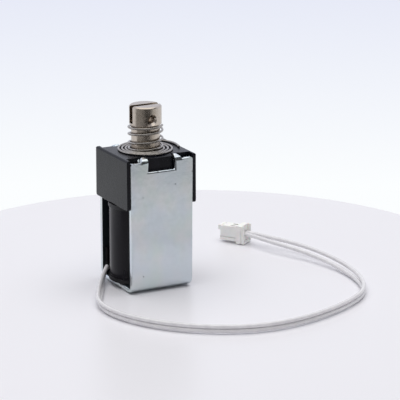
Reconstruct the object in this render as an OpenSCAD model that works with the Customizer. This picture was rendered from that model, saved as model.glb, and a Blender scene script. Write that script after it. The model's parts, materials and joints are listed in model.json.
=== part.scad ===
// Latching solenoid with a conical return spring and a two-wire lead.
// A U-shaped steel yoke carries a wound bobbin, two magnets with their pole block and a
// moulded cap. The plunger slides in a brass sleeve and the magnets hold it once it is pulled in.
// The origin is the centre of the yoke's underside, +Z runs along the plunger and +X along
// the front panel. All sizes are in millimetres.

/* [Yoke] */
// Width of the steel strip, along the front panel
yoke_width = 21; // [18:0.5:26]
// Depth over the front and back panels
yoke_depth = 22.3; // [21:0.1:26]
// Thickness of the steel strip
strip_thickness = 1.6; // [1.2:0.1:2]
// Outer radius of the two lower bends
bend_radius = 3; // [2.1:0.1:3.4]
// How far the ears end below the top of the cap
ear_drop = 1; // [0.6:0.1:1.4]
// Rounding of the outer corners of the ears
ear_corner = 0.9; // [0.3:0.1:1.4]
// Width of the notch between the ears
notch_width = 9.1; // [8:0.1:11]
// Depth of that notch
notch_depth = 3.2; // [2.4:0.1:4]
// Width of a clinch finger at its foot
finger_width = 2.3; // [1.4:0.1:2.6]
// Width of a clinch finger at its tip
finger_tip = 1.2; // [0.8:0.1:1.4]
// Straight length of a clinch finger past its bend
finger_length = 1.4; // [1:0.1:2]
// Angle that a clinch finger is bent inwards
finger_angle = 65; // [50:1:75]
// Core diameter of the two tapped mounting holes
mount_hole = 2.5; // [2:0.1:3.3]
// Distance between the mounting holes
mount_spacing = 15; // [10:0.5:18]
// Height of the lower mounting hole
mount_height = 8; // [5:0.5:10]

/* [Coil] */
// Length of the winding
coil_length = 22.2; // [16:0.1:30]
// How far the oval coil stands out past each edge of the strip
coil_overhang = 1.15; // [0.5:0.05:1.2]
// Thickness of each bobbin flange
flange_thickness = 1.2; // [0.8:0.1:1.6]
// Wall of the bobbin barrel at its thinnest place
barrel_wall = 1; // [0.7:0.1:1.5]
// Thickness of the wrapped tape
tape_thickness = 0.18; // [0.1:0.02:0.4]
// Thickness of the insulating liner
liner_thickness = 0.2; // [0.1:0.05:0.4]

/* [Magnet pack] */
// Height of the pole block
pole_height = 10.9; // [8:0.1:14]
// Width of the pole block
pole_width = 16; // [14:0.5:18]
// Width of a magnet
magnet_width = 15; // [12:0.5:16]
// Thickness of a magnet
magnet_thickness = 3; // [2:0.1:3.2]

/* [Cap] */
// Thickness of the cap's top plate
cap_plate = 4.9; // [4.4:0.1:6]
// Thickness of the cap's side walls
cap_wall = 1.1; // [0.8:0.1:1.6]
// Rounding of the cap's outer edges
cap_edge = 0.7; // [0.2:0.1:0.8]
// Rounding of the lower corners of the side walls
cap_corner = 1; // [0.5:0.1:2]
// Depth of the recess behind each ear
ear_recess = 1.1; // [1:0.05:1.6]

/* [Plunger] */
// Diameter of the plunger's rod
rod_diameter = 8.9; // [7.5:0.1:9.4]
// Diameter of the plunger's head
head_diameter = 10; // [9.8:0.1:12]
// Height of the head
head_height = 5.9; // [5.4:0.1:8]
// Chamfer round the top of the head
head_chamfer = 0.4; // [0.2:0.1:0.6]
// Gap between the cap and the head, which the spring fills
spring_room = 8.25; // [7.5:0.05:10]
// Travel of the plunger, from the stop of the spring to the fixed core
travel = 4; // [2:0.5:4.5]
// Width of the link slot across the head
link_slot = 2; // [1.5:0.1:3]
// Depth of the link slot
link_slot_depth = 5.4; // [4.5:0.1:5.8]
// Diameter of the link pin hole
pin_hole = 2; // [1.5:0.1:2.5]
// Distance of the pin hole below the top of the head
pin_drop = 4; // [2.8:0.1:4.1]

/* [Guide and core] */
// Wall of the brass guide sleeve
sleeve_wall = 0.4; // [0.3:0.05:0.6]
// Height of the fixed core above the yoke's base
core_height = 10.4; // [6:0.1:14]
// Diameter of the core's riveted tail
tail_diameter = 5; // [3:0.1:6]

/* [Return spring] */
// Diameter of the spring wire
spring_wire = 0.7; // [0.5:0.05:0.8]
// Radius of the wire's centre line in the upright coils
spring_coil_radius = 5.2; // [5.1:0.05:5.4]
// Distance from turn to turn in the flat base
flat_pitch = 1.16; // [1:0.02:1.2]
// Turns of the flat base
flat_turns = 3.35; // [2.5:0.05:3.4]
// Turns of the upright coils
coil_turns = 3.6; // [2:0.1:4]
// How far the upright coils lean to one side
spring_lean = 0.45; // [0:0.05:0.5]
// How far the wire's outer end springs away from the flat base
tail_flare = 1.15; // [0:0.05:1.2]

/* [Lead] */
// Diameter of an insulated wire
lead_diameter = 1.3; // [1.3:0.1:1.4]
// Diameter of a splice sleeve
splice_diameter = 1.5; // [1.5:0.1:1.6]
// Length of a splice sleeve
splice_length = 4; // [3:0.5:12]

/* [Connector] */
// Length of the connector housing
housing_length = 9; // [8:0.1:11]
// Width of the connector housing over its collar
housing_width = 5.3; // [5.1:0.1:6.4]
// Height of the connector housing over its collar
housing_height = 6; // [5.6:0.1:6.4]
// Distance between the two contacts
contact_pitch = 2; // [1.8:0.1:2.1]

/* [Hidden] */
$fn = 64;
// Extra length of a cut that has to break through a face
through = 1;

// Clearances
running_gap = 0.05;
seat_gap = 0.05;
film_gap = 0.02;
magnet_gap = 0.04;
side_gap = 0.1;
wall_gap = 0.15;

// Heights of the stack, from the base up
base_top = strip_thickness;
liner_bottom = base_top + film_gap;
bobbin_bottom = liner_bottom + liner_thickness;
coil_bottom = bobbin_bottom + flange_thickness;
coil_top = coil_bottom + coil_length;
bobbin_top = coil_top + flange_thickness;
pole_top = bobbin_top + pole_height;
cap_bottom = pole_top + seat_gap;
cap_top = cap_bottom + cap_plate;
cap_wall_bottom = bobbin_top + wall_gap;
yoke_height = cap_top - ear_drop;

// Half sizes across the yoke
bend_inside = 0.5;
panel_inside = yoke_depth / 2 - strip_thickness;
liner_outside = panel_inside - film_gap;
liner_inside = liner_outside - liner_thickness;
coil_gap = 0.13;
tape_radius = liner_inside - coil_gap;
oval_half = yoke_width / 2 + coil_overhang - tape_radius;
winding_radius = tape_radius - tape_thickness - film_gap;
flange_lip = 0.1;
flange_radius = tape_radius + flange_lip;
flange_side_lip = 0.2;
cap_half_width = yoke_width / 2 + side_gap + cap_wall;
cap_setback = 0.15;
cap_half_depth = yoke_depth / 2 - cap_setback;
plate_half_depth = panel_inside - seat_gap;

// Radii of the nested round parts, from the plunger out
rod_radius = rod_diameter / 2;
sleeve_inside = rod_radius + running_gap;
sleeve_outside = sleeve_inside + sleeve_wall;
sleeve_seat = sleeve_outside + seat_gap;
barrel_radius = sleeve_seat + barrel_wall;
core_radius = sleeve_inside - running_gap;
cap_hole_gap = 0.3;
core_edge = 0.4;

// Riveted tail of the core, flared flush with the underside
flare_height = 0.5;
flare_width = 0.6;

// Clinch fingers
finger_bend = 0.1;
finger_rise = (finger_bend + strip_thickness) * sin(finger_angle) + finger_length * cos(finger_angle);
finger_proud = 0.4;
finger_root = cap_top + finger_proud - finger_rise;
finger_reach = (finger_bend + strip_thickness) + finger_length * sin(finger_angle);
pocket_gap = 0.25;

// Magnet pack
pole_half_depth = panel_inside - magnet_thickness - 2 * magnet_gap;
pole_edge = 0.5;
magnet_drop = 0.3;
rib_thickness = 1.2;
rib_height = 6;

// Cap top details
tongue_gap = 0.12;
tongue_half = notch_width / 2 - tongue_gap;
tongue_bevel = 0.5;
tongue_bevel_run = 1.2;
sleeve_cover = 1.7;

// Plunger heights at rest, drawn out to the free length of its spring
rest_gap = 0.1;
core_top = base_top + core_height;
plunger_bottom = core_top + rest_gap + travel;
head_bottom = cap_top + spring_room;
head_top = head_bottom + head_height;
pin_height = head_top - pin_drop;
pin_chamfer = 0.75;
rod_chamfer = 0.4;

// Return spring
spring_seat = cap_top + film_gap + spring_wire / 2;
spring_end = head_bottom - film_gap - spring_wire / 2;
spring_base_radius = spring_coil_radius + flat_pitch * flat_turns;
spring_turn_in = 109;
spring_ease = 0.35;
lean_toward = 300;
spring_shift = [0.21, -0.11, 0];
tail_turn = 0.27;
tail_bow = tail_flare * 1.1;
spring_steps = 22;
spring_sides = 8;
full_turn = 360;

// Splice sleeves, wedged between the coil and the liner at the rear left corner
splice_radius = splice_diameter / 2;
splice_gap = 0.03;
splice_bottom = 6;
splice_y = liner_inside - splice_radius - splice_gap;
splice_from_coil = tape_radius + splice_radius + splice_gap;
splice_b_x = -oval_half - sqrt(pow(splice_from_coil, 2) - pow(splice_y, 2));
splice_a_x = splice_b_x - splice_diameter - splice_gap;
splice_taper = 0.3;

// Connector, lying on the floor beside the yoke
housing_place = [45.2, 25.2];
housing_angle = -56;
collar_length = 3;
body_margin = 0.55;
rear_pocket = 1;
rear_wall = 0.6;
cavity_size = 1.5;
contact_mouth = 0.8;
mouth_wall = 0.8;
window_length = 1.8;
window_width = 1;
window_place = -1.2;
lip_length = 0.8;
lip_height = 1.6;
lip_slot = 0.4;
guide_rib = 0.2;
collar_groove = 0.3;
contact_height = 3.2;
wire_stop = 2.2;
terminal_gap = 0.1;
terminal_size = cavity_size - 2 * terminal_gap;
terminal_sheet = 0.25;
barrel_length = 2.4;

// Lead wires: side by side at first, then on edge with wire a on wire b as far as the last bend
lead_radius = lead_diameter / 2;
lead_sides = 8;
lead_floor_gap = 0.02;
lower_height = lead_radius + lead_floor_gap;
upper_height = lower_height + lead_diameter + lead_floor_gap;
lead_start_a = [
    [-9.3, 7.9, 5], [-10, 7, 4.5], [-11, 6.1, 4], [-12, 5.2, 3.3], [-13.6, 3.2, 2.6], [-15.3, 0.6, 2.2],
    [-17.1, -2.3, 2.05], [-18.8, -5.3, 2.05], [-20.5, -8.5, 2.05], [-22.4, -12, 2.05], [-24.1, -15.9, 2.05],
    [-24.9, -20, 2.05]
];
lead_start_b = [
    [-7.8, 8.5, 4.6], [-8.7, 8.4, 3.8], [-9.7, 8.1, 3.2], [-10.8, 7.3, 2.7], [-11.8, 6, 1.8],
    [-12.8, 4.3, 1], [-14.4, 1.8, 0.7], [-16.3, -1.8, 0.7], [-18.1, -5.4, 0.7], [-19.9, -8.9, 0.7],
    [-21.9, -12.3, 0.7], [-23.6, -15.7, 0.7], [-24.7, -20, 0.7]
];
pair_route = [
    [-24.8, -25.5], [-23.6, -31], [-21.4, -36.5], [-18.2, -42], [-14, -47], [-9, -51.5], [-3.5, -55.2],
    [2.5, -58], [8.5, -59.6], [15, -60], [21.5, -59.3], [28, -57.7], [34.5, -55.4], [41, -52.5],
    [47, -48.8], [51.5, -45]
];
lead_end_a = [
    [55, -40, 2], [57.6, -34, 2], [59.5, -27.5, 1.9], [60.6, -20, 1.9], [60.6, -12, 2.1],
    [59.2, -3.5, 2.5], [56.8, 4, 2.9], [53.5, 10.8, 3.2]
];
lead_end_b = [
    [54.7, -40.2, 0.7], [56.6, -35, 0.7], [58, -29, 0.7], [58.5, -22.5, 0.9], [58.3, -16, 1.3],
    [56.8, -8, 1.9], [53.8, 0.5, 2.7], [50, 8.5, 3.1]
];

// Lays a profile drawn in Y and Z along X
module along_x(length) {
    rotate([90, 0, 90]) linear_extrude(length, center = true) children();
}

// Lays a profile drawn in X and Z along Y
module along_y(length) {
    rotate([90, 0, 0]) linear_extrude(length, center = true) children();
}

// Repeats a front right feature at all four corners
module four_corners() {
    children();
    mirror([1, 0, 0]) children();
    mirror([0, 1, 0]) children();
    rotate([0, 0, 180]) children();
}

// Upright rectangle about the Z axis with rounded lower and upper corners
module upright(half, bottom, top, lower_radius, upper_radius) {
    translate([-half, bottom + lower_radius]) square([2 * half, top - bottom - lower_radius - upper_radius]);
    rounded_end(half, bottom, bottom + lower_radius, lower_radius);
    rounded_end(half, top - upper_radius, top - upper_radius, upper_radius);
}

module rounded_end(half, bottom, center_height, radius) {
    if (radius > 0) {
        floor_height = min(bottom, center_height);
        translate([radius - half, floor_height]) square([2 * (half - radius), radius]);
        for (side = [-1, 1]) translate([side * (half - radius), center_height]) circle(radius);
    }
}

// Oval with straight sides along X
module oval(radius, half) {
    square([2 * half, 2 * radius], center = true);
    for (side = [-1, 1]) translate([side * half, 0]) circle(radius);
}

// Upright ring between two ovals of the same straight length
module oval_ring(outside, inside, bottom, top) {
    translate([0, 0, bottom]) linear_extrude(top - bottom) difference() {
        oval(outside, oval_half);
        oval(inside, oval_half);
    }
}

// Cylinder between two heights
module shaft(radius, bottom, top) {
    translate([0, 0, bottom]) cylinder(r = radius, h = top - bottom);
}

// Box between two corners
module block(low, high) {
    translate(low) cube(high - low);
}

function unit(v) = v / norm(v);
function mix(a, b, share) = a + (b - a) * share;
function tangents(path) = [
    for (i = [0 : len(path) - 1]) unit(path[min(i + 1, len(path) - 1)] - path[max(i - 1, 0)])
];
function carried(normal, tangent) = unit(normal - tangent * (normal * tangent));
// Normals carried along a path without twist
function normals(along, first) = [
    for (i = 0, n = carried(first, along[0]); i < len(along);
         i = i + 1, n = carried(n, along[min(i, len(along) - 1)])) n
];

// Round bar swept along the points of a path
module swept_bar(path, radius, sides) {
    along = tangents(path);
    across = normals(along, [1, 0, 0]);
    last_ring = len(path) - 1;
    points = [
        for (i = [0 : last_ring], k = [0 : sides - 1])
        let (angle = full_turn * k / sides)
        path[i] + radius * (cos(angle) * across[i] + sin(angle) * cross(along[i], across[i]))
    ];
    walls = [
        for (i = [0 : last_ring - 1], k = [0 : sides - 1])
        let (next = (k + 1) % sides)
        [i * sides + k, (i + 1) * sides + k, (i + 1) * sides + next, i * sides + next]
    ];
    start_face = [for (k = [0 : sides - 1]) k];
    end_face = [for (k = [sides - 1 : -1 : 0]) last_ring * sides + k];
    polyhedron(points, concat([start_face], walls, [end_face]));
}

// Yoke: a strip bent to a U, notched at the top of both panels
module strip_profile(outside, thickness, bottom, top, radius, inside_radius) {
    difference() {
        upright(outside, bottom, top, radius, 0);
        upright(outside - thickness, bottom + thickness, top + through, inside_radius, 0);
    }
}

module panel_outline() {
    ear_cut = notch_width / 2 + finger_width - film_gap;
    difference() {
        upright(yoke_width / 2, -through, yoke_height, ear_corner, ear_corner);
        translate([-notch_width / 2, yoke_height - notch_depth]) square([notch_width, notch_depth + through]);
        translate([-ear_cut, finger_root]) square([2 * ear_cut, yoke_height]);
    }
}

// Finger seen from the front: as wide as its foot up to the ear's top, then narrowing to its tip
module finger_outline() {
    side = notch_width / 2;
    tip = finger_root + finger_rise;
    polygon([
        [side, finger_root - film_gap],
        [side + finger_width, finger_root - film_gap],
        [side + finger_width, yoke_height],
        [side + finger_tip, tip],
        [side + finger_tip, tip + through],
        [side, tip + through]
    ]);
}

module bent_strip(width) {
    translate([finger_bend, -film_gap, 0]) cube([strip_thickness, film_gap, width]);
    rotate_extrude(angle = finger_angle)
        translate([finger_bend, 0]) square([strip_thickness, width]);
    rotate([0, 0, finger_angle])
        translate([finger_bend, -film_gap, 0]) cube([strip_thickness, finger_length + film_gap, width]);
}

module clinch_finger() {
    intersection() {
        translate([notch_width / 2 + finger_width, finger_bend - panel_inside, finger_root])
            rotate([90, 0, -90]) bent_strip(finger_width);
        along_y(2 * yoke_depth) finger_outline();
    }
}

module core_tail(extra) {
    shaft(tail_diameter / 2 + extra, -extra, base_top + extra);
    translate([0, 0, -extra])
        cylinder(r1 = tail_diameter / 2 + flare_width + extra, r2 = tail_diameter / 2 + extra, h = flare_height + extra);
}

module yoke_frame() {
    color("lightsteelblue") difference() {
        union() {
            intersection() {
                along_x(yoke_width)
                    strip_profile(yoke_depth / 2, strip_thickness, 0, yoke_height, bend_radius, bend_inside);
                along_y(yoke_depth + through) panel_outline();
            }
            four_corners() clinch_finger();
        }
        core_tail(film_gap);
        for (height = [mount_height, mount_height + mount_spacing])
            translate([0, yoke_depth / 2, height]) rotate([90, 0, 0])
                cylinder(d = mount_hole, h = 3 * strip_thickness, center = true);
    }
}

module insulation_liner() {
    color("dimgray") difference() {
        along_x(yoke_width)
            strip_profile(liner_outside, liner_thickness, liner_bottom, bobbin_top, bend_inside,
                          bend_inside - liner_thickness);
        shaft(sleeve_seat, 0, coil_bottom);
    }
}

module fixed_core() {
    color("gray") {
        shaft(core_radius, base_top, core_top - core_edge);
        translate([0, 0, core_top - core_edge]) cylinder(r1 = core_radius, r2 = core_radius - core_edge, h = core_edge);
        core_tail(0);
    }
}

// Bobbin: an oval barrel with a round bore between two wider flanges
module flange(bottom) {
    translate([0, 0, bottom]) linear_extrude(flange_thickness) oval(flange_radius, oval_half + flange_side_lip);
}

module bobbin() {
    color("#202022") difference() {
        union() {
            flange(bobbin_bottom);
            flange(coil_top);
            translate([0, 0, bobbin_bottom]) linear_extrude(bobbin_top - bobbin_bottom) oval(barrel_radius, oval_half);
        }
        shaft(sleeve_seat, 0, bobbin_top + through);
    }
}

module coil_winding() {
    color("peru") oval_ring(winding_radius, barrel_radius + film_gap, coil_bottom, coil_top);
}

module coil_tape() {
    color("#2b2b2e") oval_ring(tape_radius, tape_radius - tape_thickness, coil_bottom + film_gap, coil_top - film_gap);
}

module guide_sleeve() {
    color("goldenrod") difference() {
        shaft(sleeve_outside, base_top, cap_top - sleeve_cover - seat_gap);
        shaft(sleeve_inside, 0, cap_top);
    }
}

// Magnet pack: a steel block round the sleeve, with a magnet towards each panel
module pole_block() {
    color("silver") difference() {
        block([-pole_width / 2, -pole_half_depth, bobbin_top], [pole_width / 2, pole_half_depth, pole_top]);
        shaft(sleeve_seat, 0, cap_top);
        for (side = [-1, 1], end = [-1, 1])
            translate([side * pole_width / 2, end * pole_half_depth, bobbin_top]) rotate([0, 0, 45])
                translate([-pole_edge, -pole_edge, -through]) cube([2 * pole_edge, 2 * pole_edge, pole_height + 2 * through]);
    }
}

module magnet(end) {
    near = pole_half_depth + magnet_gap;
    rotate([0, 0, end])
        block([-magnet_width / 2, near, bobbin_top + film_gap],
              [magnet_width / 2, near + magnet_thickness, pole_top - magnet_drop]);
}

module magnet_front() {
    color("lightgray") magnet(180);
}

module magnet_rear() {
    color("lightgray") magnet(0);
}

// Cap: a plate inside the yoke with two walls that close its open sides
module cap_shell() {
    inside = yoke_width / 2 + side_gap;
    difference() {
        intersection() {
            along_y(4 * cap_half_depth) upright(cap_half_width, cap_wall_bottom, cap_top, cap_edge / 2, cap_edge);
            along_x(4 * cap_half_width) upright(cap_half_depth, cap_wall_bottom, cap_top, cap_corner, cap_edge);
        }
        block([-inside, -2 * cap_half_depth, 0], [inside, 2 * cap_half_depth, cap_bottom]);
        for (end = [0, 180]) rotate([0, 0, end]) {
            block([-inside, plate_half_depth, 0], [inside, 2 * cap_half_depth, cap_top + through]);
            for (side = [0, 1]) mirror([side, 0, 0])
                block([tongue_half, plate_half_depth - ear_recess, finger_root - pocket_gap],
                      [inside, 2 * cap_half_depth, cap_top + through]);
        }
    }
}

module finger_pocket() {
    depth = panel_inside - finger_reach + strip_thickness - pocket_gap;
    block([tongue_half, -panel_inside, finger_root - pocket_gap],
          [notch_width / 2 + finger_width + pocket_gap, -depth, cap_top + through]);
}

module tongue_bevel_cut() {
    along_x(2 * tongue_half + through) polygon([
        [-plate_half_depth - through, cap_top + through],
        [tongue_bevel_run - plate_half_depth, cap_top + through],
        [tongue_bevel_run - plate_half_depth, cap_top],
        [-plate_half_depth, cap_top - tongue_bevel],
        [-plate_half_depth - through, cap_top - tongue_bevel]
    ]);
}

module cap_rib() {
    block([pole_width / 2 + seat_gap, pole_half_depth / 2, cap_bottom - rib_height],
          [yoke_width / 2 + 2 * side_gap, pole_half_depth / 2 + rib_thickness, cap_bottom + seat_gap]);
}

module top_cap() {
    color("#2a2b2d") {
        difference() {
            cap_shell();
            four_corners() finger_pocket();
            for (end = [0, 180]) rotate([0, 0, end]) tongue_bevel_cut();
            shaft(sleeve_seat, 0, cap_top - sleeve_cover);
            shaft(rod_radius + cap_hole_gap, 0, cap_top + through);
        }
        four_corners() cap_rib();
    }
}

// Plunger: a slotted head with a cross hole for a link pin, on a plain rod
module pin_mouth() {
    mouth = pin_hole / 2 + pin_chamfer;
    translate([0, -head_diameter / 2, pin_height]) rotate([-90, 0, 0]) {
        cylinder(r1 = mouth, r2 = pin_hole / 2, h = pin_chamfer);
        translate([0, 0, -through]) cylinder(r = mouth, h = through);
    }
}

module plunger() {
    color("tan") difference() {
        union() {
            translate([0, 0, plunger_bottom])
                cylinder(r1 = rod_radius - rod_chamfer, r2 = rod_radius, h = rod_chamfer);
            shaft(rod_radius, plunger_bottom + rod_chamfer, head_bottom);
            shaft(head_diameter / 2, head_bottom, head_top - head_chamfer);
            translate([0, 0, head_top - head_chamfer])
                cylinder(d1 = head_diameter, d2 = head_diameter - 2 * head_chamfer, h = head_chamfer);
        }
        block([-head_diameter, -link_slot / 2, head_top - link_slot_depth],
              [head_diameter, link_slot / 2, head_top + through]);
        translate([0, 0, pin_height]) rotate([90, 0, 0]) cylinder(d = pin_hole, h = 2 * head_diameter, center = true);
        for (end = [0, 180]) rotate([0, 0, end]) pin_mouth();
    }
}

// Return spring: a flat spiral on the cap that turns into upright coils under the head
function spring_rise(share) = share - spring_ease * sin(full_turn * share) / (2 * PI);
function tail_reach(share) =
    tail_flare * pow(1 - share, 2) * (1 + 2 * share) + tail_bow * pow(sin(full_turn * share / 2), 2);
function spring_point(turn) =
    let (flat_share = min(1, turn / flat_turns))
    let (rise_share = max(0, turn - flat_turns) / coil_turns)
    let (radius = mix(spring_base_radius, spring_coil_radius, flat_share) + tail_reach(min(1, turn / tail_turn)))
    let (angle = spring_turn_in + full_turn * (turn - flat_turns))
    let (lean = spring_lean * cos(angle - lean_toward) * sin(full_turn * rise_share / 2))
    [radius * cos(angle), radius * sin(angle), mix(spring_seat, spring_end, spring_rise(rise_share)) + lean]
    + spring_shift * (1 - flat_share);

module return_spring() {
    total_turns = flat_turns + coil_turns;
    steps = ceil(total_turns * spring_steps);
    color("darkgray")
        swept_bar([for (i = [0 : steps]) spring_point(total_turns * i / steps)], spring_wire / 2, spring_sides);
}

// Splice sleeves over the joints between the winding and the lead
module splice_sleeve(x) {
    top = splice_bottom + splice_length;
    translate([x, splice_y, 0]) {
        shaft(splice_radius, splice_bottom, top - splice_taper);
        translate([0, 0, top - splice_taper])
            cylinder(r1 = splice_radius, r2 = splice_radius - splice_taper, h = splice_taper);
    }
}

module splice_sleeve_a() {
    color("#38383b") splice_sleeve(splice_a_x);
}

module splice_sleeve_b() {
    color("#38383b") splice_sleeve(splice_b_x);
}

// Lead wires, from the splice sleeves to the backs of the terminals
function turned(p, angle) = [p.x * cos(angle) - p.y * sin(angle), p.x * sin(angle) + p.y * cos(angle)];
function at_housing(along, side) =
    let (flat = housing_place + turned([along, side * contact_pitch / 2], housing_angle))
    [flat.x, flat.y, contact_height];
function lead_path(splice_x, start, height, end, side) = concat(
    [[splice_x, splice_y, splice_bottom], [splice_x, splice_y, splice_bottom - lead_radius]],
    start,
    [for (p = pair_route) [p.x, p.y, height]],
    end,
    [at_housing(housing_length / 2 + lead_diameter, side), at_housing(housing_length / 2 - rear_pocket, side),
     at_housing(wire_stop, side)]
);

module lead_wire_a() {
    color("gainsboro")
        swept_bar(lead_path(splice_a_x, lead_start_a, upper_height, lead_end_a, 1), lead_radius, lead_sides);
}

module lead_wire_b() {
    color("gainsboro")
        swept_bar(lead_path(splice_b_x, lead_start_b, lower_height, lead_end_b, -1), lead_radius, lead_sides);
}

// Connector housing in its own frame: the wires leave along +X
module in_connector() {
    translate([housing_place.x, housing_place.y, 0]) rotate([0, 0, housing_angle]) children();
}

module each_contact() {
    for (side = [-1, 1]) translate([0, side * contact_pitch / 2, 0]) children();
}

module housing_body() {
    half = housing_length / 2;
    body_half_width = housing_width / 2 - body_margin;
    block([-half, -body_half_width, body_margin], [half, body_half_width, housing_height - body_margin]);
    block([half - collar_length, -housing_width / 2, 0], [half, housing_width / 2, housing_height]);
    block([-half - lip_length, -body_half_width, housing_height - body_margin - lip_height],
          [-half, body_half_width, housing_height - body_margin]);
    for (side = [-1, 1])
        block([-half, side * body_half_width - guide_rib, body_margin],
              [half, side * body_half_width + guide_rib, 3 * body_margin]);
}

module housing_cuts() {
    half = housing_length / 2;
    block([half - rear_pocket, rear_wall - housing_width / 2, rear_wall],
          [half + through, housing_width / 2 - rear_wall, housing_height + through]);
    each_contact() {
        block([mouth_wall - half, -cavity_size / 2, contact_height - cavity_size / 2],
              [half, cavity_size / 2, contact_height + cavity_size / 2]);
        block([-half - lip_length - through, -contact_mouth / 2, contact_height - contact_mouth / 2],
              [0, contact_mouth / 2, contact_height + contact_mouth / 2]);
        block([window_place, -window_width / 2, contact_height],
              [window_place + window_length, window_width / 2, housing_height + through]);
    }
    block([lip_slot - half, -housing_width, housing_height - body_margin - lip_slot],
          [2 * lip_slot - half, housing_width, housing_height]);
    for (side = [-1, 1])
        translate([half - rear_pocket, side * housing_width / 2, housing_height / 4])
            cube([2 * collar_groove, 2 * collar_groove, housing_height], center = true);
}

module connector_housing() {
    color("ivory") in_connector() difference() {
        housing_body();
        housing_cuts();
    }
}

// Crimp terminal: a folded box for the mating pin and a barrel on the wire
module terminal(side) {
    front = mouth_wall - housing_length / 2 + terminal_gap;
    box_end = wire_stop - barrel_length;
    in_connector() translate([0, side * contact_pitch / 2, contact_height]) {
        difference() {
            block([front, -terminal_size / 2, -terminal_size / 2], [box_end, terminal_size / 2, terminal_size / 2]);
            block([front - through, terminal_sheet - terminal_size / 2, terminal_sheet - terminal_size / 2],
                  [box_end - terminal_sheet, terminal_size / 2 - terminal_sheet, terminal_size / 2 - terminal_sheet]);
        }
        translate([box_end, 0, 0]) rotate([0, 90, 0]) cylinder(d = terminal_size, h = barrel_length);
    }
}

module terminal_a() {
    color("khaki") terminal(1);
}

module terminal_b() {
    color("khaki") terminal(-1);
}

yoke_frame();
insulation_liner();
fixed_core();
bobbin();
coil_winding();
coil_tape();
guide_sleeve();
pole_block();
magnet_front();
magnet_rear();
top_cap();
plunger();
return_spring();
splice_sleeve_a();
splice_sleeve_b();
lead_wire_a();
lead_wire_b();
connector_housing();
terminal_a();
terminal_b();
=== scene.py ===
"""Looks of a latching solenoid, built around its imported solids.

Everything is in the part's own frame: +Z runs along the plunger, the front panel faces -Y and the part
stands on z = 0. Lengths are in metres where no comment says millimetres.
"""

import json
import math
from collections import namedtuple

import bmesh
import bpy
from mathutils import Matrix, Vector


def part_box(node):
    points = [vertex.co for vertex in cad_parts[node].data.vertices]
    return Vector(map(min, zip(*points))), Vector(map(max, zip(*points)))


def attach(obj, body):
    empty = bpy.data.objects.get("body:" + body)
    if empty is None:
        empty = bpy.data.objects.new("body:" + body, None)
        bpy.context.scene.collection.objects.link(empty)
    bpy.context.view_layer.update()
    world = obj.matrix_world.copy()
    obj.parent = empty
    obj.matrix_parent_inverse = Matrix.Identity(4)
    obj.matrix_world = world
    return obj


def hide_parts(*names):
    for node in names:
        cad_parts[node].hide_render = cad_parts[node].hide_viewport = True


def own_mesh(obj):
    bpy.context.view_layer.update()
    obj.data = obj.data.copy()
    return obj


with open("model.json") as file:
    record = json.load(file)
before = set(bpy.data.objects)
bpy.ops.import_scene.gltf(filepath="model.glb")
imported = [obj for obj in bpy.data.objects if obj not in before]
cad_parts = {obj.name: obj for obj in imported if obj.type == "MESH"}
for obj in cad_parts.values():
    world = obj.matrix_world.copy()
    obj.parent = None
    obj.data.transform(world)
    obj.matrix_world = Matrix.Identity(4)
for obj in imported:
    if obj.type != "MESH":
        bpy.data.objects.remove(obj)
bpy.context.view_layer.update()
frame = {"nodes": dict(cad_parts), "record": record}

MM = 0.001
FULL_TURN = 2 * math.pi

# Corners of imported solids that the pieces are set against
yoke_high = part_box("yoke_frame")[1]
spring_low, spring_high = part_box("return_spring")

# Camera, fitted to the upright and level edges of the yoke; lens and sensor are in millimetres
CAMERA_AZIMUTH = math.radians(-27.658)
CAMERA_ELEVATION = math.radians(15.597)
CAMERA_PLACE = Vector((-0.29620, -0.60116, 0.21313))
CAMERA_LENS = 202.7
SENSOR_WIDTH = 36.0


def direction(azimuth, elevation):
    """Unit vector from the part towards a viewer; azimuth 0 is -Y and 90 degrees is +X."""
    flat = math.cos(elevation)
    return Vector((math.sin(azimuth) * flat, -math.cos(azimuth) * flat, math.sin(elevation)))


def link(item):
    bpy.context.scene.collection.objects.link(item)
    return item


def add_camera():
    data = bpy.data.cameras.new("photo_camera")
    data.lens = CAMERA_LENS
    data.sensor_width = SENSOR_WIDTH
    camera = link(bpy.data.objects.new("photo_camera", data))
    camera.location = CAMERA_PLACE
    camera.rotation_mode = "QUATERNION"
    camera.rotation_quaternion = (-direction(CAMERA_AZIMUTH, CAMERA_ELEVATION)).to_track_quat("-Z", "Y")
    bpy.context.scene.camera = camera


add_camera()


# Lead wires along the routes of their solids, in millimetres
LEAD_DIAMETER = 1.3
LEAD_ROUND_STEPS = 6
LEAD_STEPS = 10
LEAD_ORDER = 4
UPPER_HEIGHT = 1.99
LOWER_HEIGHT = 0.67
LEAD_START_A = [
    (-9.13, 8.55, 6), (-9.13, 8.55, 5.35), (-9.3, 7.9, 5), (-10, 7, 4.5), (-11, 6.1, 4),
    (-12, 5.2, 3.3), (-13.6, 3.2, 2.6), (-15.3, 0.6, 2.2), (-17.1, -2.3, 2.05), (-18.8, -5.3, 2.05),
    (-20.5, -8.5, 2.05), (-22.4, -12, 2.05), (-24.1, -15.9, 2.05), (-24.9, -20, 2.05),
]
LEAD_START_B = [
    (-7.6, 8.55, 6), (-7.6, 8.55, 5.35), (-7.8, 8.5, 4.6), (-8.7, 8.4, 3.8), (-9.7, 8.1, 3.2),
    (-10.8, 7.3, 2.7), (-11.8, 6, 1.8), (-12.8, 4.3, 1), (-14.4, 1.8, 0.7), (-16.3, -1.8, 0.7),
    (-18.1, -5.4, 0.7), (-19.9, -8.9, 0.7), (-21.9, -12.3, 0.7), (-23.6, -15.7, 0.7), (-24.7, -20, 0.7),
]
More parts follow.
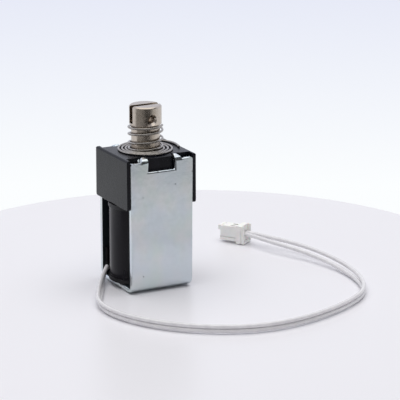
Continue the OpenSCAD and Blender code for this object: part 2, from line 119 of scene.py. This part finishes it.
PAIR_ROUTE = [
    (-24.8, -25.5), (-23.6, -31), (-21.4, -36.5), (-18.2, -42), (-14, -47), (-9, -51.5), (-3.5, -55.2),
    (2.5, -58), (8.5, -59.6), (15, -60), (21.5, -59.3), (28, -57.7), (34.5, -55.4), (41, -52.5),
    (47, -48.8), (51.5, -45),
]
LEAD_END_A = [
    (55, -40, 2), (57.6, -34, 2), (59.5, -27.5, 1.9), (60.6, -20, 1.9), (60.6, -12, 2.1),
    (59.2, -3.5, 2.5), (56.8, 4, 2.9), (53.5, 10.8, 3.2),
]
LEAD_END_B = [
    (54.7, -40.2, 0.7), (56.6, -35, 0.7), (58, -29, 0.7), (58.5, -22.5, 0.9), (58.3, -16, 1.3),
    (56.8, -8, 1.9), (53.8, 0.5, 2.7), (50, 8.5, 3.1),
]
HOUSING_PLACE = (45.2, 25.2)
HOUSING_ANGLE = math.radians(-56)
CONTACT_PITCH = 2.0
CONTACT_HEIGHT = 3.2
# Where a wire meets the plug: in front of it, at the mouth of its back and at the crimp
PLUG_STATIONS = (5.8, 3.5, 2.2)


def in_plug(along, side):
    """A point of the plug's own frame, its wires leaving along +X, at the height of the contacts."""
    across = side * CONTACT_PITCH / 2
    cosine = math.cos(HOUSING_ANGLE)
    sine = math.sin(HOUSING_ANGLE)
    x = HOUSING_PLACE[0] + along * cosine - across * sine
    y = HOUSING_PLACE[1] + along * sine + across * cosine
    return (x, y, CONTACT_HEIGHT)


def lead_route(start, height, end, side):
    """Control points of a lead in metres, from its splice sleeve to its contact in the plug."""
    pair = [(x, y, height) for x, y in PAIR_ROUTE]
    plug = [in_plug(along, side) for along in PLUG_STATIONS]
    return [Vector(point) * MM for point in start + pair + end + plug]


def lead_curve(name, route):
    data = bpy.data.curves.new(name, "CURVE")
    data.dimensions = "3D"
    data.bevel_depth = LEAD_DIAMETER * MM / 2
    data.bevel_resolution = LEAD_ROUND_STEPS
    data.resolution_u = LEAD_STEPS
    data.use_fill_caps = True
    spline = data.splines.new("NURBS")
    spline.points.add(len(route) - 1)
    for point, place in zip(spline.points, route):
        point.co = (*place, 1)
    spline.order_u = LEAD_ORDER
    spline.use_endpoint_u = True
    return link(bpy.data.objects.new(name, data))


route_a = lead_route(LEAD_START_A, UPPER_HEIGHT, LEAD_END_A, 1)
route_b = lead_route(LEAD_START_B, LOWER_HEIGHT, LEAD_END_B, -1)
lead_a = lead_curve("lead_cover_a", route_a)
lead_b = lead_curve("lead_cover_b", route_b)


# Patterns of the looks: noise in blotches about size metres wide, longer along an axis whose stretch is
# below 1, and bands across Z that lie pitch metres apart, as a tool or a winding leaves them
Grain = namedtuple("Grain", "size detail stretch", defaults=(3, (1, 1, 1)))
Rings = namedtuple("Rings", "pitch distortion")
# The part of a noise's range that most of it lies in
NOISE_MIDDLE = (0.3, 0.7)
# Radians that the wave texture turns through in each unit of its scale
WAVE_RATE = 20
# Specks are full up to this share of their radius
SPECK_CORE = 0.4


def add_node(tree, kind, inputs):
    """A new shader node; an input that is given a socket is linked and any other is set."""
    made = tree.nodes.new("ShaderNode" + kind)
    for key, value in inputs.items():
        if isinstance(value, bpy.types.NodeSocket):
            tree.links.new(value, made.inputs[key])
        else:
            made.inputs[key].default_value = value
    return made


class Look:
    """A procedural material, and the short calls that wire its nodes."""

    def __init__(self, name, constants):
        self.material = bpy.data.materials.new(name)
        self.material.use_nodes = True
        self.tree = self.material.node_tree
        self.shader = self.tree.nodes["Principled BSDF"]
        self.place = self.add("TexCoord", {}).outputs["Object"]
        for socket, value in constants.items():
            self.shader.inputs[socket].default_value = value

    def add(self, kind, inputs):
        return add_node(self.tree, kind, inputs)

    def pattern(self, kind):
        """Values from 0 to 1 in the given grain or rings."""
        if isinstance(kind, Rings):
            scale = FULL_TURN / (WAVE_RATE * kind.pitch)
            inputs = {"Vector": self.place, "Scale": scale, "Distortion": kind.distortion}
            made = self.add("TexWave", inputs)
            made.bands_direction = "Z"
        else:
            stretched = self.add("Mapping", {"Vector": self.place, "Scale": kind.stretch})
            inputs = {"Vector": stretched.outputs["Vector"], "Scale": 1 / kind.size, "Detail": kind.detail}
            made = self.add("TexNoise", inputs)
        return made.outputs["Fac"]

    def specks(self, size, share, strength):
        """Strength in small round specks, one at most in each cell of size metres, and 0 elsewhere."""
        cells = self.add("TexVoronoi", {"Vector": self.place, "Scale": 1 / size})
        return self.span(cells.outputs["Distance"], share, SPECK_CORE * share, 0, strength)

    def span(self, value, low, high, to_low=0, to_high=1):
        """A value that runs from low to high, made to run between two others and stop there."""
        before = {"From Min": low, "From Max": high}
        after = {"To Min": to_low, "To Max": to_high}
        return self.add("MapRange", {"Value": value, **before, **after}).outputs["Result"]

    def mix(self, share, first, second):
        """Colour between two others, each a socket or three numbers."""
        inputs = {"Fac": share}
        for key, colour in (("Color1", first), ("Color2", second)):
            inputs[key] = colour if isinstance(colour, bpy.types.NodeSocket) else (*colour, 1)
        return self.add("MixRGB", inputs).outputs["Color"]

    def drive(self, socket, value):
        self.tree.links.new(value, self.shader.inputs[socket])

    def rough(self, limits, grain):
        """Roughness that drifts between two limits."""
        self.drive("Roughness", self.span(self.pattern(grain), *NOISE_MIDDLE, *limits))

    def bump(self, reliefs):
        """Reliefs of (pattern, depth in metres), one on the other."""
        below = {}
        for kind, depth in reliefs:
            made = self.add("Bump", {"Height": self.pattern(kind), "Distance": depth, **below})
            below = {"Normal": made.outputs["Normal"]}
        self.drive("Normal", below["Normal"])


def zinc_look():
    """Zinc plate: clouds of two greys, a bluish drift over them, and a few dark pits."""
    look = Look("zinc_plate", {"Metallic": 1.0})
    cloud = look.span(look.pattern(Grain(6 * MM)), low=0.36, high=0.64)
    tint = look.mix(cloud, first=(0.63, 0.705, 0.693), second=(0.70, 0.717, 0.727))
    drift = look.span(look.pattern(Grain(9 * MM, 2, (1.3, 1, 0.8))), low=0.4, high=0.62, to_high=0.7)
    tint = look.mix(drift, first=tint, second=(0.625, 0.687, 0.75))
    pits = look.specks(size=3.6 * MM, share=0.075, strength=0.9)
    look.drive("Base Color", look.mix(pits, first=tint, second=(0.05, 0.055, 0.06)))
    look.rough((0.18, 0.26), Grain(1.6 * MM, 4))
    waves = (Grain(5 * MM, 2), 0.05 * MM)
    rolling = (Grain(0.5 * MM, 3, (1, 1, 0.12)), 0.002 * MM)
    fine = (Grain(0.16 * MM, 2), 0.001 * MM)
    look.bump([waves, rolling, fine])
    return look.material


def clouded_look(
    name, constants, dark, light, cloud, reliefs, contrast=(0, 1), rough=None, rough_grain=None,
):
    """A look that drifts from dark to light where the cloud pattern runs through the contrast's range.

    Its roughness drifts too where limits are given, and its reliefs are (pattern, depth in metres).
    """
    look = Look(name, constants)
    share = look.span(look.pattern(cloud), *contrast)
    look.drive("Base Color", look.mix(share, dark, light))
    if rough:
        look.rough(rough, rough_grain)
    look.bump(reliefs)
    return look.material


def turned_look(name, dark, light, rough):
    """Turned steel with fine tool rings and faint stains."""
    return clouded_look(
        name, {"Metallic": 1.0}, dark, light, cloud=Grain(2 * MM), contrast=NOISE_MIDDLE,
        rough=rough, rough_grain=Grain(1.1 * MM),
        reliefs=[(Rings(0.16 * MM, 0.5), 0.001 * MM), (Grain(0.4 * MM, 2), 0.001 * MM)],
    )


def glowing_look(name, constants):
    """A look that glows by itself and throws back no light."""
    look = Look(name, {"Base Color": (0, 0, 0, 1), "Specular IOR Level": 0.0, **constants})
    look.material.cycles.emission_sampling = "NONE"
    return look


def card_look(name, from_x, to_x, dark, light):
    """Grey that glows by itself, from dark at one x to light at another."""
    look = glowing_look(name, {"Emission Strength": 1.0})
    across = look.add("SeparateXYZ", {"Vector": look.place}).outputs["X"]
    share = look.span(across, from_x, to_x)
    look.drive("Emission Color", look.mix(share, (dark, dark, dark), (light, light, light)))
    return look.material


# Materials
zinc = zinc_look()
cap_plastic = clouded_look(
    "cap_plastic", {"Specular IOR Level": 0.19},
    dark=(0.003, 0.0033, 0.0055), light=(0.007, 0.0075, 0.0115),
    cloud=Grain(3 * MM, 4, (1, 1, 0.3)), contrast=(0.35, 0.7),
    rough=(0.22, 0.3), rough_grain=Grain(1.2 * MM, 4, (1, 1, 0.4)),
    reliefs=[(Grain(0.13 * MM, 2), 0.0015 * MM)],
)
bobbin_plastic = clouded_look(
    "bobbin_plastic", {"Specular IOR Level": 0.35},
    dark=(0.006, 0.006, 0.007), light=(0.014, 0.014, 0.015), cloud=Grain(2 * MM),
    rough=(0.4, 0.55), rough_grain=Grain(0.8 * MM),
    reliefs=[(Grain(0.15 * MM, 2), 0.006 * MM)],
)
tape = clouded_look(
    "tape_film", {"Specular IOR Level": 0.18},
    dark=(0.003, 0.0025, 0.0045), light=(0.006, 0.0053, 0.0085),
    cloud=Grain(2.5 * MM, 3, (1, 1, 0.25)), contrast=(0.35, 0.65),
    rough=(0.18, 0.26), rough_grain=Grain(1.5 * MM, 3, (1, 1, 0.3)),
    reliefs=[(Grain(3 * MM, 2, (1, 1, 0.2)), 0.03 * MM), (Grain(0.4 * MM, 2), 0.003 * MM)],
)
# Insulating film between coil and yoke; its near-black teal is partly painted shade, standing in for the
# deep shade of the gap it lines
liner_film = clouded_look(
    "liner_film", {"Specular IOR Level": 0.25},
    dark=(0.006, 0.010, 0.012), light=(0.012, 0.018, 0.021), cloud=Grain(2.5 * MM),
    rough=(0.5, 0.65), rough_grain=Grain(1.5 * MM),
    reliefs=[(Grain(2 * MM, 2), 0.02 * MM)],
)
copper = clouded_look(
    "copper_winding", {"Metallic": 1.0},
    dark=(0.36, 0.14, 0.06), light=(0.72, 0.36, 0.2), cloud=Rings(0.22 * MM, 0.3),
    rough=(0.25, 0.4), rough_grain=Grain(1 * MM, 2),
    reliefs=[(Rings(0.22 * MM, 0.3), 0.08 * MM)],
)
brass = clouded_look(
    "sleeve_brass", {"Metallic": 1.0},
    dark=(0.62, 0.45, 0.2), light=(0.72, 0.56, 0.28), cloud=Grain(2 * MM),
    rough=(0.25, 0.4), rough_grain=Grain(0.6 * MM, 3, (1, 1, 0.1)),
    reliefs=[(Grain(0.3 * MM, 2, (1, 1, 0.05)), 0.005 * MM)],
)
nickel = turned_look(
    "plunger_nickel", dark=(0.485, 0.42, 0.355), light=(0.555, 0.495, 0.43), rough=(0.19, 0.29),
)
core_steel = turned_look(
    "core_steel", dark=(0.42, 0.42, 0.42), light=(0.56, 0.56, 0.56), rough=(0.28, 0.38),
)
magnet_plate = clouded_look(
    "magnet_plate", {"Metallic": 1.0},
    dark=(0.56, 0.56, 0.55), light=(0.68, 0.68, 0.67), cloud=Grain(2 * MM),
    rough=(0.25, 0.4), rough_grain=Grain(0.8 * MM),
    reliefs=[(Grain(0.3 * MM, 2), 0.006 * MM)],
)
spring_wire = clouded_look(
    "spring_wire", {"Metallic": 1.0},
    dark=(0.32, 0.297, 0.27), light=(0.45, 0.422, 0.388),
    cloud=Grain(0.9 * MM, 4), contrast=(0.35, 0.7),
    rough=(0.14, 0.24), rough_grain=Grain(0.5 * MM),
    reliefs=[(Grain(0.12 * MM, 2), 0.0008 * MM)],
)
splice_tube = clouded_look(
    "splice_tube", {"Specular IOR Level": 0.08},
    dark=(0.002, 0.002, 0.0025), light=(0.005, 0.005, 0.006), cloud=Grain(0.8 * MM),
    rough=(0.45, 0.6), rough_grain=Grain(0.5 * MM),
    reliefs=[(Grain(0.6 * MM), 0.03 * MM)],
)
wire_cover = clouded_look(
    "wire_cover", {"Specular IOR Level": 0.5},
    dark=(0.765, 0.75, 0.77), light=(0.825, 0.815, 0.83),
    cloud=Grain(2.2 * MM, 4), contrast=(0.35, 0.65),
    rough=(0.18, 0.28), rough_grain=Grain(0.7 * MM),
    reliefs=[(Grain(0.9 * MM), 0.006 * MM)],
)
nylon = clouded_look(
    "plug_nylon", {"Subsurface Weight": 0.1, "Subsurface Scale": 1 * MM, "Specular IOR Level": 0.4},
    dark=(0.92, 0.91, 0.885), light=(0.95, 0.94, 0.92),
    cloud=Grain(2 * MM), contrast=(0.35, 0.65),
    rough=(0.38, 0.5), rough_grain=Grain(0.6 * MM),
    reliefs=[(Grain(0.18 * MM, 2), 0.006 * MM)],
)
tin = clouded_look(
    "tinned_brass", {"Metallic": 1.0},
    dark=(0.66, 0.64, 0.58), light=(0.78, 0.77, 0.73), cloud=Grain(0.6 * MM),
    rough=(0.25, 0.4), rough_grain=Grain(0.4 * MM),
    reliefs=[(Grain(0.2 * MM, 2), 0.005 * MM)],
)
pale_table = clouded_look(
    "pale_table", {"Specular IOR Level": 0.3, "Roughness": 0.32},
    dark=(0.83, 0.82, 0.855), light=(0.845, 0.835, 0.87), cloud=Grain(90 * MM, 2),
    reliefs=[(Grain(1.5 * MM), 0.004 * MM)],
)


def paint(piece, material):
    """Gives a piece its material."""
    piece.data.materials.clear()
    piece.data.materials.append(material)


def dress(piece, material, body="housing"):
    """Paints a piece and lets it move with a body."""
    paint(piece, material)
    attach(piece, body)


# Edges that turn more than SHARP may be rounded, and those that turn more than CREASE and are not
# rounded keep a crease. Faces that turn less than FLAT are joined first. Corners are joined where they
# are closer than SAME_PLACE in the solid, or than SLIVER once its edges are rounded.
SHARP = math.radians(28)
CREASE = math.radians(40)
FLAT = math.radians(0.6)
SAME_PLACE = 0.002 * MM
SLIVER = 0.01 * MM
ROUND_SEGMENTS = 3
# Tubes end in a quarter round whose radius is this share of the tube's, with rings at these angles
END_ROUND = 0.35
END_ANGLES = [math.radians(angle) for angle in (15, 45, 75)]


def face_turn(edge):
    return edge.calc_face_angle() if edge.is_manifold else 0.0


def shaded_mesh(name, build, rounded=()):
    """A smoothly shaded mesh of built faces, with creases along sharp edges that are not rounded."""
    for face in build.faces:
        face.smooth = True
    for edge in build.edges:
        edge.smooth = face_turn(edge) < CREASE
    for edge in rounded:
        edge.smooth = True
    mesh = bpy.data.meshes.new(name)
    build.to_mesh(mesh)
    build.free()
    return mesh


def rounded_copy(node, name, width, shortest, segments=ROUND_SEGMENTS, side=math.inf):
    """A copy of a solid's mesh with its sharp edges rounded to width.

    Edges no longer than shortest are left, apart from those at least side metres left or right of the
    middle.
    """
    build = bmesh.new()
    build.from_mesh(frame["nodes"][node].data)
    bmesh.ops.remove_doubles(build, verts=build.verts, dist=SAME_PLACE)
    bmesh.ops.dissolve_limit(build, angle_limit=FLAT, verts=build.verts, edges=build.edges)
    weight = build.edges.layers.float.new("bevel_weight_edge")
    rounded = []
    for edge in build.edges:
        beside = min(abs(vert.co.x) for vert in edge.verts) >= side
        if face_turn(edge) > SHARP and (beside or edge.calc_length() > shortest):
            edge[weight] = 1.0
            rounded.append(edge)
    piece = link(bpy.data.objects.new(name, shaded_mesh(name, build, rounded)))
    bevel = piece.modifiers.new("round", "BEVEL")
    bevel.limit_method = "WEIGHT"
    bevel.width = width
    bevel.segments = segments
    bevel.use_clamp_overlap = False
    weld = piece.modifiers.new("weld", "WELD")
    weld.merge_threshold = SLIVER
    even = piece.modifiers.new("even", "WEIGHTED_NORMAL")
    even.keep_sharp = True
    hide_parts(node)
    return piece


def swept_tube(name, path, radii, sides):
    """A closed round tube along a path, with a radius for each of its points."""
    build = bmesh.new()
    last = len(path) - 1
    along = [(path[min(i + 1, last)] - path[max(i - 1, 0)]).normalized() for i in range(last + 1)]
    across = along[0].orthogonal().normalized()
    turns = [FULL_TURN * k / sides for k in range(sides)]
    rings = []
    for place, tangent, radius in zip(path, along, radii):
        across = (across - tangent * across.dot(tangent)).normalized()
        beside = tangent.cross(across)
        spots = [place + radius * (math.cos(t) * across + math.sin(t) * beside) for t in turns]
        rings.append([build.verts.new(spot) for spot in spots])
    for ring, following in zip(rings, rings[1:]):
        for k in range(sides):
            after = (k + 1) % sides
            build.faces.new((ring[k], ring[after], following[after], following[k]))
    build.faces.new(list(reversed(rings[0])))
    build.faces.new(rings[-1])
    build.normal_update()
    return link(bpy.data.objects.new(name, shaded_mesh(name, build)))


def rounded_ends(path, radius):
    """The path of a tube with points added for its rounded ends, and the radius at each point."""
    first = (path[1] - path[0]).normalized()
    final = (path[-1] - path[-2]).normalized()
    inset = END_ROUND * radius
    start = [path[0] + first * inset * (1 - math.cos(t)) for t in END_ANGLES]
    end = [path[-1] - final * inset * (1 - math.cos(t)) for t in reversed(END_ANGLES)]
    taper = [radius - inset * (1 - math.sin(t)) for t in END_ANGLES]
    inner = [p for p in path if min((p - path[0]).length, (p - path[-1]).length) > inset]
    return start + inner + end, taper + [radius] * len(inner) + taper[::-1]


# Solids that stay as they are
for node_name, material, slot_name in (
    ("insulation_liner", liner_film, "liner_film"),
    ("fixed_core", core_steel, "core_steel"),
    ("bobbin", bobbin_plastic, "bobbin_plastic"),
    ("coil_winding", copper, "copper_wire"),
    ("coil_tape", tape, "tape"),
    ("guide_sleeve", brass, "sleeve_brass"),
    ("pole_block", core_steel, "core_steel"),
    ("magnet_front", magnet_plate, "magnet_plate"),
    ("magnet_rear", magnet_plate, "magnet_plate"),
    ("terminal_a", tin, "tinned_brass"),
    ("terminal_b", tin, "tinned_brass"),
):
    paint(frame["nodes"][node_name], material)

# Stamped, moulded and turned pieces with rounded edges; the yoke's strip is rounded all along its sides
yoke = rounded_copy(
    "yoke_frame", "bent_yoke", width=0.55 * MM, shortest=0.5 * MM, segments=5,
    side=yoke_high.x - SAME_PLACE,
)
dress(yoke, zinc)
cap = rounded_copy("top_cap", "moulded_cap", width=0.14 * MM, shortest=0.4 * MM)
dress(cap, cap_plastic)
plunger = rounded_copy("plunger", "turned_plunger", width=0.09 * MM, shortest=0.25 * MM)
dress(plunger, nickel, "plunger")
plug = rounded_copy("connector_housing", "plug_housing", width=0.1 * MM, shortest=0.25 * MM)
dress(plug, nylon)

# Return spring, in millimetres and whole turns: a flat spiral on the cap that turns into upright coils
# under the plunger's head
SPRING_WIRE = 0.7
COIL_RADIUS = 5.2
COIL_TURNS = 3.6
FLAT_PITCH = 1.16
FLAT_TURNS = 3.35
SPRING_STEPS = 60
SPRING_SIDES = 14
# Angle from +X where the spiral turns into the coils
TURN_IN = math.radians(109)
# The spiral's outer end swings out by the flare and bows out on its way there, in part of a turn
TAIL_FLARE = 1.15
TAIL_BOW = 1.265
TAIL_TURN = 0.27
# Share by which the coils rise less steeply at their two ends
RISE_EASE = 0.35
# The coils stand higher on one side at mid height, and the spiral's outer end lies a little aside
SPRING_LEAN = 0.24
LEAN_TOWARD = math.radians(238)
BASE_SHIFT = Vector((0.21, -0.11, 0))


def spring_point(turn):
    """The middle of the wire, in metres, so many turns from the spiral's outer end."""
    flat_share = min(1, turn / FLAT_TURNS)
    rise_share = max(0, turn - FLAT_TURNS) / COIL_TURNS
    tail_share = min(1, turn / TAIL_TURN)
    flare = TAIL_FLARE * (1 - tail_share) ** 2 * (1 + 2 * tail_share)
    bow = TAIL_BOW * math.sin(math.pi * tail_share) ** 2
    radius = COIL_RADIUS + FLAT_PITCH * FLAT_TURNS * (1 - flat_share) + flare + bow
    angle = TURN_IN + FULL_TURN * (turn - FLAT_TURNS)
    rise = rise_share - RISE_EASE * math.sin(FULL_TURN * rise_share) / FULL_TURN
    lean = SPRING_LEAN * math.cos(angle - LEAN_TOWARD) * math.sin(math.pi * rise_share)
    half_wire = SPRING_WIRE / 2
    low = spring_low.z / MM + half_wire
    high = spring_high.z / MM - half_wire
    height = low + (high - low) * rise + lean
    spot = Vector((radius * math.cos(angle), radius * math.sin(angle), height))
    return (spot + BASE_SHIFT * (1 - flat_share)) * MM


def return_spring():
    turns = FLAT_TURNS + COIL_TURNS
    steps = math.ceil(turns * SPRING_STEPS)
    middle = [spring_point(turns * i / steps) for i in range(steps + 1)]
    path, radii = rounded_ends(middle, SPRING_WIRE * MM / 2)
    spring = swept_tube("coiled_spring", path, radii, SPRING_SIDES)
    dress(spring, spring_wire)
    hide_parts("return_spring")
    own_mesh(spring)


return_spring()

# Tapped holes, in millimetres: a ridge that winds through each mounting hole of the back panel
STRIP_THICKNESS = 1.6
THREAD_PITCH = 0.5
THREAD_RIDGE = 0.14
THREAD_STEPS = 28
THREAD_SIDES = 8
# Pitches that the thread keeps from each face of the panel, and steps over which it fades at its ends
THREAD_MARGIN = 0.5
THREAD_FADE = 8


def tapped_thread(name, centre, core):
    """A thread at a hole's core radius, wound from the panel's face towards its inside."""
    turns = STRIP_THICKNESS / THREAD_PITCH - 2 * THREAD_MARGIN
    steps = math.ceil(turns * THREAD_STEPS)
    path = []
    radii = []
    for i in range(steps + 1):
        angle = FULL_TURN * turns * i / steps
        depth = THREAD_PITCH * (THREAD_MARGIN + turns * i / steps)
        path.append((centre + Vector((core * math.cos(angle), -depth, core * math.sin(angle)))) * MM)
        fade = min(1, (1 + i) / THREAD_FADE, (1 + steps - i) / THREAD_FADE)
        radii.append(THREAD_RIDGE * MM * fade)
    dress(swept_tube(name, path, radii, THREAD_SIDES), zinc)


back_holes = next(mount for mount in frame["record"]["mounts"] if mount["name"] == "back_holes")
hole_sizes = back_holes["dims"]
for thread_name, side in (("upper_thread", 1), ("lower_thread", -1)):
    offset = Vector((0, 0, side * hole_sizes["spacing_y_mm"] / 2))
    tapped_thread(thread_name, Vector(back_holes["pos_m"]) / MM + offset, hole_sizes["hole_r_mm"])

# Splice sleeves, in millimetres: shrunk tubes that follow each wire a little way out of the yoke
SLEEVE_RADIUS = 0.75
SLEEVE_SIDES = 20
SLEEVE_STEPS = 8


def spline_point(route, place):
    """The point of a lead's curve that lies place spans along it, by de Boor's rule."""
    degree = LEAD_ORDER - 1
    spans = len(route) - degree
    knots = [min(max(i - degree, 0), spans) for i in range(len(route) + LEAD_ORDER)]
    first = min(int(place), spans - 1)
    points = route[first:first + LEAD_ORDER]
    for level in range(1, LEAD_ORDER):
        for i in range(degree, level - 1, -1):
            low = knots[first + i]
            high = knots[first + i + LEAD_ORDER - level]
            points[i] = points[i - 1].lerp(points[i], (place - low) / (high - low))
    return points[degree]


def splice_sleeve(name, node, route, spans):
    """A sleeve from the top of its solid down to the given number of spans along the lead's curve."""
    top = Vector((route[0].x, route[0].y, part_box(node)[1].z))
    straight = [top.lerp(route[0], i / SLEEVE_STEPS) for i in range(SLEEVE_STEPS)]
    bent_steps = math.ceil(spans * SLEEVE_STEPS)
    bent = [spline_point(route, spans * i / bent_steps) for i in range(bent_steps + 1)]
    path, radii = rounded_ends(straight + bent, SLEEVE_RADIUS * MM)
    sleeve = swept_tube(name, path, radii, SLEEVE_SIDES)
    dress(sleeve, splice_tube)
    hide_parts(node)


splice_sleeve("shrunk_sleeve_a", "splice_sleeve_a", route_a, spans=2.3)
splice_sleeve("shrunk_sleeve_b", "splice_sleeve_b", route_b, spans=1.8)

# Leads
for lead, node_name, terminal, route in (
    (lead_a, "lead_wire_a", "terminal_a", route_a),
    (lead_b, "lead_wire_b", "terminal_b", route_b),
):
    dress(lead, wire_cover)
    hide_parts(node_name)

# Floor: a pale table top with a round far side, which ends behind the part as the photograph shows
TABLE_CENTRE = Vector((0.0187, 0.0052, 0))
TABLE_RADIUS = 0.0958
TABLE_REACH = 0.13
TABLE_THICKNESS = 0.012
TABLE_RIM = 0.001
TABLE_STEPS = 96
# How far the table lies below the part
FLOOR_GAP = 0.3 * MM


def table_top():
    away = -direction(CAMERA_AZIMUTH, 0)
    aside = Vector((away.y, -away.x, 0))
    turns = [math.pi * i / TABLE_STEPS for i in range(TABLE_STEPS + 1)]
    rim = [TABLE_CENTRE + TABLE_RADIUS * (math.cos(t) * aside + math.sin(t) * away) for t in turns]
    rim += [rim[-1] - TABLE_REACH * away, rim[0] - TABLE_REACH * away]
    build = bmesh.new()
    top = build.faces.new([build.verts.new(spot) for spot in rim])
    side = bmesh.ops.extrude_face_region(build, geom=[top])["geom"]
    lowered = [item for item in side if isinstance(item, bmesh.types.BMVert)]
    bmesh.ops.translate(build, verts=lowered, vec=(0, 0, -TABLE_THICKNESS))
    bmesh.ops.recalc_face_normals(build, faces=build.faces)
    table = link(bpy.data.objects.new("table_top", shaded_mesh("table_top", build)))
    table.location.z = -FLOOR_GAP
    table.data.materials.append(pale_table)
    bevel = table.modifiers.new("round", "BEVEL")
    bevel.width = TABLE_RIM
    bevel.segments = ROUND_SEGMENTS


table_top()

# Dark curved cards in front, seen only in reflections, as the unlit side of a studio is
CARD_RADIUS = 0.4
CARD_STEPS = 24


def reflected_only(name, build, material):
    """Turns built faces into a card that shows in reflections and nowhere else."""
    mesh = bpy.data.meshes.new(name)
    build.to_mesh(mesh)
    build.free()
    mesh.materials.append(material)
    card = link(bpy.data.objects.new(name, mesh))
    card.visible_camera = False
    card.visible_diffuse = False
    card.visible_shadow = False
    card.visible_transmission = False


def dark_card(name, material, azimuths, heights):
    """A card round the part between two azimuths in degrees and two heights in metres."""
    build = bmesh.new()
    start, end = azimuths
    columns = []
    for i in range(CARD_STEPS + 1):
        spot = CARD_RADIUS * direction(math.radians(start + (end - start) * i / CARD_STEPS), 0)
        columns.append([build.verts.new((spot.x, spot.y, height)) for height in heights])
    for left, right in zip(columns, columns[1:]):
        build.faces.new((left[0], right[0], right[1], left[1]))
    reflected_only(name, build, material)


unlit = card_look("front_grey", from_x=-0.15, to_x=-0.4, dark=0.055, light=0.3)
half_lit = card_look("side_grey", from_x=0.06, to_x=0.24, dark=0.12, light=0.72)
dark_card("front_card", unlit, azimuths=(-98, 10), heights=(-0.28, 0.4))
dark_card("side_card", unlit, azimuths=(10, 62), heights=(0.0, 0.5))
dark_card("low_side_card", half_lit, azimuths=(10, 50), heights=(-0.28, 0.0))


# Light: a wide soft box overhead, with the level of its cloth in reflections, and a pale surround
LAMP_PLACE = Vector((0, 0.05, 0.85))
LAMP_SIZE = 1.2
LAMP_WATTS = 7.1
LAMP_SEEN = 1.5


def soft_box():
    """A round lamp, and the white of its cloth as reflections show it."""
    data = bpy.data.lights.new("overhead_light", "AREA")
    data.shape = "DISK"
    data.size = LAMP_SIZE
    data.energy = LAMP_WATTS
    light = link(bpy.data.objects.new("overhead_light", data))
    light.location = LAMP_PLACE
    light.visible_glossy = False
    build = bmesh.new()
    bmesh.ops.create_circle(build, cap_ends=True, segments=CARD_STEPS, radius=LAMP_SIZE / 2)
    bmesh.ops.translate(build, verts=build.verts, vec=LAMP_PLACE)
    cloth = glowing_look("lamp_white", {"Emission Color": (1, 1, 1, 1), "Emission Strength": LAMP_SEEN})
    reflected_only("lamp_cloth", build, cloth.material)


soft_box()

SURROUND_LEVEL = 0.37
SURROUND_TINT = (0.985, 0.985, 1.0)
# Colours of the backdrop, and the Z of the view direction where the first ends and the second begins
BACKDROP_LOWER = (0.97, 0.99, 1.0)
BACKDROP_UPPER = (0.80, 0.825, 0.93)
BACKDROP_FROM = -0.262
BACKDROP_TO = -0.18


def surround():
    """A pale surround, shaded for the eye and in reflections, and plain where it lights the part."""
    world = bpy.data.worlds.new("pale_surround")
    bpy.context.scene.world = world
    world.use_nodes = True
    tree = world.node_tree
    plain = tree.nodes["Background"]
    plain.inputs["Color"].default_value = (*SURROUND_TINT, 1)
    plain.inputs["Strength"].default_value = SURROUND_LEVEL
    view = add_node(tree, "TexCoord", {}).outputs["Generated"]
    height = add_node(tree, "SeparateXYZ", {"Vector": view}).outputs["Z"]
    limits = {"From Min": BACKDROP_FROM, "From Max": BACKDROP_TO}
    rise = add_node(tree, "MapRange", {"Value": height, **limits})
    colours = {"Color1": (*BACKDROP_LOWER, 1), "Color2": (*BACKDROP_UPPER, 1)}
    shade = add_node(tree, "MixRGB", {"Fac": rise.outputs["Result"], **colours})
    seen = add_node(tree, "Background", {"Color": shade.outputs["Color"]})
    rays = add_node(tree, "LightPath", {}).outputs
    looked_at = rays["Is Camera Ray"]
    for kind in ("Is Glossy Ray", "Is Transmission Ray"):
        either = add_node(tree, "Math", {0: looked_at, 1: rays[kind]})
        either.operation = "MAXIMUM"
        looked_at = either.outputs["Value"]
    shaders = {1: plain.outputs["Background"], 2: seen.outputs["Background"]}
    chosen = add_node(tree, "MixShader", {"Fac": looked_at, **shaders})
    tree.links.new(chosen.outputs["Shader"], tree.nodes["World Output"].inputs["Surface"])


surround()
bpy.context.scene.view_settings.view_transform = "Standard"
